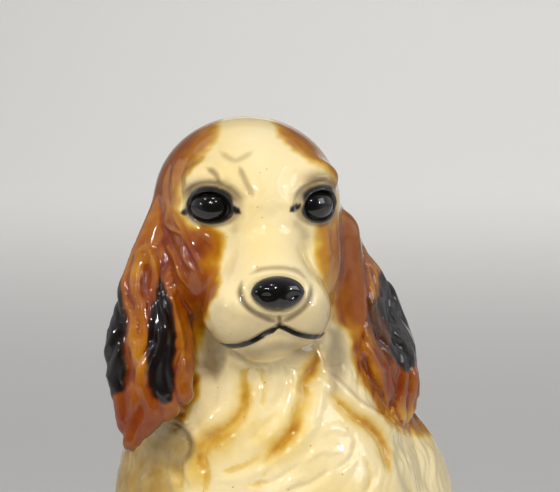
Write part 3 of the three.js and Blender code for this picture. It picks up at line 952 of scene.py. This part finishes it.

# Grey and tan on the lower left of the chest: partly a stain, partly a painted shadow.
stain_and_shadow_low_left = smooth(-17, -30, uv[:, 0] + 2 * edge) * smooth(-76, -86, uv[:, 1])
stain_and_shadow_low_left *= smooth(-150, -105, uv[:, 1] + 4 * edge) * facing * (casting == "torso_shell")
grey = np.maximum(grey, 0.3 * stain_and_shadow_low_left)
pooled = smooth(0.02, 0.3, hollowness)
thin = smooth(0.04, 0.3, -hollowness)
tan_area = smooth(0.2, 0.6, tan)
tan += tan_area * (0.5 * pooled - 0.13 * thin)
pool_lines = [
    (chest_lines[0][0], 3.6, 0.2), (chest_lines[0][0], 1.4, 0.26),
    (chest_lines[3][0], 3.4, 0.2), (chest_lines[3][0], 1.3, 0.26),
    (chest_lines[6][0], 2.6, 0.3), (chest_lines[6][0], 1.0, 0.4),
    ([(12, -72), (15.4, -78), (10, -84), (4, -88.4)], 3.6, 0.16),
    ([(24.4, -50), (23.4, -55), (20.6, -60)], 2.0, 0.5),
    ([(-3, -78), (-12, -82.5), (-16, -90), (-14, -98)], 4.5, 0.26),
    ([(2, -74), (6, -79), (12, -80)], 3.2, 0.1),
]
# Where the tan is laid thicker: across, up, radius and how much more.
richer = [
    (-17, -14, 6, 0.45), (-13, -34, 6, 0.4), (-37, -73, 9, 0.5),
    (-33, -34, 9, 0.45), (48, -61, 7, 0.3), (29, -15, 5, 0.15),
]
creamy = (1 - tan_area) * near_chest * facing * smooth(-46, -54, uv[:, 1])
worn = 0.62 + 0.38 * wander(points, 5, 41) + 0.2 * wander(points, 1.6, 44)
for line, radius, strength in pool_lines:
    tan += creamy * strength * groove(uv, line, radius) * worn
# More tan in the painted shadow and stain on the lower left of the chest.
tan += 0.3 * stain_and_shadow_low_left * worn
some = smooth(0.0, 0.6, wander(points, 13, 42))
body_coat = (casting == "torso_shell") | limbs | (casting == "head_shell")
tan += (1 - tan_area) * body_coat * some * (0.26 - 0.12 * chest) * pooled * smooth(-48, -56, uv[:, 1])
tan += 0.05 * (1 - tan_area) * smooth(-0.2, 0.8, wander(points, 20, 43))
tan += 0.22 * smooth(0.4, 1.6, broad) * tan_area
for u, v, radius, more in richer:
    tan += more * tan_area * np.exp(-(((uv - [u, v]) / radius) ** 2).sum(1))
stains = {"tan": np.clip(tan, 0, 1.5), "black": np.clip(black, 0, 1), "grey": np.clip(grey, 0, 1)}
print({name: (stain > 0.5).mean().round(3) for name, stain in stains.items()})


# %% [markdown]
# ## Clay, stain and glaze
#
# One coat of stain lets part of each colour through, and a thicker coat lets less through. A power
# does that. Pinholes and iron specks, and the slow ripple of the glaze, are noise.


# %% Node groups
def node_group(name, inputs, outputs):
    group = bpy.data.node_groups.new(name, "ShaderNodeTree")
    for kind, sockets in (("INPUT", inputs), ("OUTPUT", outputs)):
        for label, socket_type, value in sockets:
            made = group.interface.new_socket(
                label, in_out=kind, socket_type=f"NodeSocket{socket_type}"
            )
            if value is not None:
                made.default_value = value
    return group, group.nodes.new("NodeGroupInput"), group.nodes.new("NodeGroupOutput")


def math_node(tree, operation, *values, clamp=False):
    node = tree.nodes.new("ShaderNodeMath")
    node.operation, node.use_clamp = operation, clamp
    for socket, value in zip(node.inputs, values):
        if isinstance(value, (int, float)):
            socket.default_value = value
        else:
            tree.links.new(value, socket)
    return node.outputs[0]


stain_group, into, out = node_group(
    "Coat of stain",
    [("Under", "Color", None), ("Lets through", "Color", None), ("Density", "Float", 0.0)],
    [("Colour", "Color", None)],
)
under = stain_group.nodes.new("ShaderNodeSeparateColor")
through = stain_group.nodes.new("ShaderNodeSeparateColor")
mixed = stain_group.nodes.new("ShaderNodeCombineColor")
stain_group.links.new(into.outputs["Under"], under.inputs[0])
stain_group.links.new(into.outputs["Lets through"], through.inputs[0])
for i in range(3):
    power = math_node(stain_group, "POWER", through.outputs[i], into.outputs["Density"])
    stain_group.links.new(
        math_node(stain_group, "MULTIPLY", under.outputs[i], power), mixed.inputs[i]
    )
stain_group.links.new(mixed.outputs[0], out.inputs["Colour"])

speck_group, into, out = node_group(
    "Kiln specks",
    [("Spots per metre", "Float", 400.0), ("Share", "Float", 0.1), ("Size", "Float", 0.2)],
    [("Mask", "Float", None)],
)
place = speck_group.nodes.new("ShaderNodeTexCoord")
cells = speck_group.nodes.new("ShaderNodeTexVoronoi")
speck_group.links.new(place.outputs["Object"], cells.inputs["Vector"])
speck_group.links.new(into.outputs["Spots per metre"], cells.inputs["Scale"])
lot = speck_group.nodes.new("ShaderNodeSeparateColor")
speck_group.links.new(cells.outputs["Color"], lot.inputs[0])
drawn = math_node(speck_group, "LESS_THAN", lot.outputs[0], into.outputs["Share"])
near = math_node(speck_group, "DIVIDE", cells.outputs["Distance"], into.outputs["Size"])
spot = math_node(speck_group, "SUBTRACT", 1.0, near, clamp=True)
speck_group.links.new(math_node(speck_group, "MULTIPLY", drawn, spot), out.inputs["Mask"])

ripple_group, into, out = node_group(
    "Glaze ripple",
    [("Ripples per metre", "Float", 200.0), ("Fine part", "Float", 0.3)],
    [("Height", "Float", None)],
)
place = ripple_group.nodes.new("ShaderNodeTexCoord")
slow, quick = (ripple_group.nodes.new("ShaderNodeTexNoise") for _ in range(2))
for noise, times in ((slow, 1.0), (quick, 4.0)):
    ripple_group.links.new(place.outputs["Object"], noise.inputs["Vector"])
    scale = math_node(ripple_group, "MULTIPLY", into.outputs["Ripples per metre"], times)
    ripple_group.links.new(scale, noise.inputs["Scale"])
    noise.inputs["Detail"].default_value = 2.0
fine = math_node(ripple_group, "MULTIPLY", quick.outputs[0], into.outputs["Fine part"])
ripple_group.links.new(
    math_node(ripple_group, "ADD", slow.outputs[0], fine), out.inputs["Height"]
)

# %% The glazed coat
CLAY = (0.80, 0.655, 0.36, 1)
TAN_THROUGH = (0.36, 0.122, 0.0016, 1)
BLACK_THROUGH = (0.013, 0.012, 0.012, 1)
GREY_THROUGH = (0.22, 0.19, 0.17, 1)


def use_group(tree, group, **values):
    node = tree.nodes.new("ShaderNodeGroup")
    node.node_tree = group
    for label, value in values.items():
        socket = node.inputs[label.replace("_", " ")]
        if isinstance(value, bpy.types.NodeSocket):
            tree.links.new(value, socket)
        else:
            socket.default_value = value
    return node.outputs[0]


def glossy(material, roughness, coat_roughness):
    shader = material.node_tree.nodes["Principled BSDF"]
    shader.inputs["Roughness"].default_value = roughness
    shader.inputs["Specular IOR Level"].default_value = 0.2
    shader.inputs["Coat Weight"].default_value = 1.0
    shader.inputs["Coat Roughness"].default_value = coat_roughness
    return shader


coat_glaze = bpy.data.materials.new("Stained glaze")
coat_glaze.use_nodes = True
tree = coat_glaze.node_tree
shader = glossy(coat_glaze, 0.42, 0.07)


def stain_of(name):
    node = tree.nodes.new("ShaderNodeAttribute")
    node.attribute_name = name
    return node.outputs["Fac"]


place = tree.nodes.new("ShaderNodeTexCoord")
cloud = tree.nodes.new("ShaderNodeTexNoise")
tree.links.new(place.outputs["Object"], cloud.inputs["Vector"])
cloud.inputs["Scale"].default_value = 260
cloud.inputs["Detail"].default_value = 3
uneven = math_node(tree, "MULTIPLY_ADD", cloud.outputs[0], 0.5, 0.75)
specks = use_group(tree, speck_group, Spots_per_metre=330.0, Share=0.05, Size=0.13)
pinholes = use_group(tree, speck_group, Spots_per_metre=620.0, Share=0.03, Size=0.2)
tan_coat = math_node(
    tree, "ADD", math_node(tree, "MULTIPLY", stain_of("tan"), uneven),
    math_node(tree, "MULTIPLY", specks, 0.6),
)
colour = use_group(
    tree, stain_group, Under=CLAY, Lets_through=TAN_THROUGH, Density=tan_coat
)
grey_coat = math_node(
    tree, "ADD", math_node(tree, "MULTIPLY", stain_of("grey"), uneven),
    math_node(tree, "MULTIPLY", pinholes, 0.5),
)
colour = use_group(tree, stain_group, Under=colour, Lets_through=GREY_THROUGH, Density=grey_coat)
colour = use_group(
    tree, stain_group, Under=colour, Lets_through=BLACK_THROUGH, Density=stain_of("black")
)
tree.links.new(colour, shader.inputs["Base Color"])
bump = tree.nodes.new("ShaderNodeBump")
bump.inputs["Distance"].default_value = 0.00028
bump.inputs["Strength"].default_value = 0.8
height = use_group(tree, ripple_group, Ripples_per_metre=260.0, Fine_part=0.28)
dented = math_node(tree, "SUBTRACT", height, math_node(tree, "MULTIPLY", pinholes, 0.6))
tree.links.new(dented, bump.inputs["Height"])
tree.links.new(bump.outputs[0], shader.inputs["Normal"])
print(len(tree.nodes), "nodes in the coat's glaze")

black_glaze = bpy.data.materials.new("Black glaze")
black_glaze.use_nodes = True
bead = glossy(black_glaze, 0.2, 0.02)
bead.inputs["Base Color"].default_value = (0.004, 0.0035, 0.003, 1)


# %% [markdown]
# ## One piece for each casting
#
# The skin is cut along the joints. Each piece is closed with a flat cap where it met its neighbour,
# and keeps the normals of the whole skin, so the joints don't show.


# %% Cut the skin into pieces
def finish_piece(piece, node, material):
    piece.data.materials.append(material)
    bpy.context.scene.collection.objects.link(piece)
    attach(piece, "root")
    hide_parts(node)
    return piece


tests = points[triangles].mean(1)
piece_of_triangle = casting_of(tests)
inner = ~outside[triangles].all(1)
piece_of_triangle[inner] = np.where(tests[inner, 2] > SEAM_Z, "head_shell", "torso_shell")


RIM = 0.002  # how far the closing cap of a piece lies below its skin


def edge_loops(edges):
    """The open edges, sorted into the loops that they form."""
    left, loops = set(edges), []
    while left:
        loop, ends = [], [left.pop()]
        while ends:
            edge = ends.pop()
            loop.append(edge)
            for v in edge.verts:
                joined = [e for e in v.link_edges if e in left]
                left.difference_update(joined)
                ends += joined
        loops.append(loop)
    return loops


def skin_piece(node):
    chosen = triangles[piece_of_triangle == node]
    used, renumbered = np.unique(chosen, return_inverse=True)
    bm = write_mesh(points[used] / 1000, renumbered.reshape(-1, 3))
    rims = bmesh.ops.extrude_edge_only(bm, edges=[e for e in bm.edges if e.is_boundary])["geom"]
    sunk = [v for v in rims if isinstance(v, bmesh.types.BMVert)]
    bm.normal_update()
    for v in sunk:
        above = next(e.other_vert(v) for e in v.link_edges if not e.is_boundary)
        v.co = above.co - Vector(normal[used[above.index]]) * RIM
    bm.edges.ensure_lookup_table()
    loops = edge_loops([e for e in bm.edges if e.is_boundary])
    neck = [
        e for loop in loops for e in loop
        if len(loop) > 80 and all(abs(v.co.z * 1000 - SEAM_Z) < 9 for edge in loop for v in edge.verts)
    ]
    if neck:
        bmesh.ops.bridge_loops(bm, edges=neck)
    open_edges = [e for e in bm.edges if e.is_boundary]
    caps = bmesh.ops.holes_fill(bm, edges=open_edges, sides=0)["faces"]
    bmesh.ops.poke(bm, faces=caps, center_mode="MEAN")
    mesh = bpy.data.meshes.new(node)
    bm.to_mesh(mesh)
    print(node, "open edges left:", sum(e.is_boundary for e in bm.edges))
    bm.free()
    added = len(mesh.vertices) - len(used)
    mesh.polygons.foreach_set("use_smooth", [True] * len(mesh.polygons))
    skin_normals = np.vstack([normal[used], np.zeros((added, 3))])
    mesh.normals_split_custom_set_from_vertices(skin_normals.tolist())
    for name, stain in stains.items():
        layer = mesh.attributes.new(name, "FLOAT", "POINT")
        layer.data.foreach_set("value", np.append(stain[used], np.zeros(added)).astype(np.float32))
    piece = bpy.data.objects.new(f"{node}_glazed", mesh)
    return finish_piece(piece, node, coat_glaze)


skins = [skin_piece(node) for node in np.unique(piece_of_triangle)]
for piece in skins:
    print(piece.name, len(piece.data.polygons), "faces")


# %% Eye and nose beads
def bead_piece(node, centre, half, turn=0.0, shape=None):
    bm = bmesh.new()
    bmesh.ops.create_uvsphere(bm, u_segments=64, v_segments=40, radius=1)
    for v in bm.verts:
        if shape:
            shape(v.co)
        spun = Vector(v.co * Vector(half))
        spun.rotate(Matrix.Rotation(turn, 3, "Z"))
        v.co = Vector(from_head(np.array(centre) + np.array([spun.x, spun.y, spun.z]))) / 1000
    bmesh.ops.recalc_face_normals(bm, faces=bm.faces)
    mesh = bpy.data.meshes.new(node)
    bm.to_mesh(mesh)
    bm.free()
    mesh.polygons.foreach_set("use_smooth", [True] * len(mesh.polygons))
    piece = bpy.data.objects.new(f"{node}_bead", mesh)
    return finish_piece(piece, node, black_glaze)


def nose_shape(co):
    x, z = co.x, co.z
    co.x *= 1 - 0.16 * max(0, -z)
    nostril = 0.0
    for side in (-1, 1):
        nostril += math.exp(-(((x - side * 0.5) / 0.2) ** 2) - ((z + 0.12) / 0.22) ** 2)
    crease = math.exp(-((x / 0.1) ** 2)) * max(0, 0.3 - z)
    if co.y > 0:
        co.y -= 0.2 * nostril + 0.1 * crease


beads = []
for name, centre in eyes.items():
    turned = math.radians(-20) * np.sign(centre[0])
    beads.append(bead_piece(name, np.array(centre) + [0, 0.6, -0.7], EYE_HALF, turned))
beads.append(bead_piece("nose_pad", NOSE - [0, 1.0, 0], (9.1, 4.6, 5.8), shape=nose_shape))
print("beads:", [bead.name for bead in beads])


# %% [markdown]
# ## On the table, in the light
#
# A pale sweep of paper, a broad soft light from the upper left, a weaker one from the right, one
# over the paper behind, and small bright lamps whose reflections sparkle on the wet-looking ridges.
# The two largest lamps are kept out of the reflections, where they would show as squares.

# %% Paper, lights and camera
paper = bpy.data.materials.new("Paper")
paper.use_nodes = True
paper_shader = paper.node_tree.nodes["Principled BSDF"]
paper_shader.inputs["Base Color"].default_value = (0.62, 0.61, 0.585, 1)
paper_shader.inputs["Roughness"].default_value = 0.9
turn = Matrix.Rotation(FACING_AZIMUTH, 3, "Z")
PAPER_WIDTH = 10
PAPER_SEAM, PAPER_END = -0.35, -4.5
BEND_START, BEND_RADIUS = 3.4, 1.0
PAPER_TOP = 5.0


def paper_sheet(name, profile):
    """A sheet in metres, square to the camera, whose section is the profile."""
    left_edge = turn @ Vector((-PAPER_WIDTH / 2, 0, 0))
    sweep = bmesh.new()
    line = [sweep.verts.new(turn @ Vector(p) + left_edge) for p in profile]
    edges = [sweep.edges.new(pair) for pair in zip(line, line[1:])]
    wide = bmesh.ops.extrude_edge_only(sweep, edges=edges)["geom"]
    moved = [v for v in wide if isinstance(v, bmesh.types.BMVert)]
    bmesh.ops.translate(sweep, verts=moved, vec=-2 * left_edge)
    bmesh.ops.recalc_face_normals(sweep, faces=sweep.faces)
    for f in sweep.faces:
        f.smooth = True
    mesh = bpy.data.meshes.new(name)
    sweep.to_mesh(mesh)
    sweep.free()
    sheet = bpy.data.objects.new(name, mesh)
    sheet.data.materials.append(paper)
    bpy.context.scene.collection.objects.link(sheet)
    return sheet


bend = [
    (0, BEND_START + BEND_RADIUS * math.sin(a), BEND_RADIUS * (1 - math.cos(a)))
    for a in np.linspace(0.1, 1.57, 12)
]
wall_foot = BEND_START + BEND_RADIUS
paper_sheet(
    "paper_sweep",
    [(0, PAPER_SEAM, 0), (0, BEND_START, 0), *bend, (0, wall_foot, PAPER_TOP)],
)
# The paper in front is there for views from behind. It neither lights the figure nor shows in the
# glaze, which it would turn grey.
front_paper = paper_sheet("paper_front", [(0, PAPER_END, 0), (0, PAPER_SEAM, 0)])
front_paper.visible_glossy = front_paper.visible_diffuse = False

bpy.context.scene.view_settings.view_transform = "Standard"
world = bpy.data.worlds.new("Studio")
bpy.context.scene.world = world
world.use_nodes = True
sky = world.node_tree
toward = sky.nodes.new("ShaderNodeVectorMath")
toward.operation = "DOT_PRODUCT"
toward.inputs[1].default_value = TOWARDS
sky.links.new(sky.nodes.new("ShaderNodeTexCoord").outputs["Generated"], toward.inputs[0])
room = sky.nodes.new("ShaderNodeMapRange")
room.inputs["From Min"].default_value, room.inputs["From Max"].default_value = -0.2, 0.8
room.inputs["To Min"].default_value, room.inputs["To Max"].default_value = 0.6, 0.04
sky.links.new(toward.outputs["Value"], room.inputs["Value"])
sky.links.new(room.outputs[0], sky.nodes["Background"].inputs["Strength"])
sky.nodes["Background"].inputs["Color"].default_value = (0.95, 0.96, 1.0, 1)

look_at = Vector((SKULL + 11.9 * RIGHT - 15.6 * UP) / 1000)


def area_light(
    name, right, up, towards, size, watts, colour=(1, 1, 1), aim=(0, 0, 0), glints=True
):
    light = bpy.data.lights.new(name, "AREA")
    light.shape, light.size, light.energy, light.color = "SQUARE", size, watts, colour
    lamp = bpy.data.objects.new(name, light)
    lamp.visible_glossy = glints
    lamp.location = look_at + Vector(RIGHT * right + UP * up + TOWARDS * towards)
    target = look_at + Vector(RIGHT * aim[0] + UP * aim[1] + TOWARDS * aim[2])
    lamp.rotation_euler = (target - lamp.location).to_track_quat("-Z", "Y").to_euler()
    bpy.context.scene.collection.objects.link(lamp)


area_light("broad window", -0.3, 0.62, 1.45, 1.2, 19.8, (1.0, 0.98, 0.94), glints=False)
area_light("right window", 1.3, 0.5, 0.6, 0.7, 5, (0.95, 0.97, 1.0))
for number, (right, up, towards, watts) in enumerate(
    [(-0.3, 0.5, 1.3, 1.7), (-0.12, 0.42, 1.3, 0.9), (0.3, 0.6, 1.2, 1.3), (-1.0, 0.2, 0.7, 1.3),
     (1.0, 0.25, 0.8, 1.1), (0.05, 0.9, 0.9, 1.2), (-0.7, 0.9, 0.8, 1.2)]
):
    area_light(f"sparkle {number}", right, up, towards, 0.032, watts)
area_light("paper light", 0.3, 2.0, -3.2, 1.6, 38, aim=(0.3, 0.0, -3.3), glints=False)

CAMERA_AWAY = 1.5
FRAME_WIDTH = 0.1904
camera = bpy.data.cameras.new("camera")
camera.sensor_width = 36
camera.lens = 36 * CAMERA_AWAY / FRAME_WIDTH
eye = bpy.data.objects.new("camera", camera)
eye.location = look_at + Vector(TOWARDS) * CAMERA_AWAY
eye.rotation_euler = (-Vector(TOWARDS)).to_track_quat("-Z", "Y").to_euler()
bpy.context.scene.collection.objects.link(eye)
bpy.context.scene.camera = eye
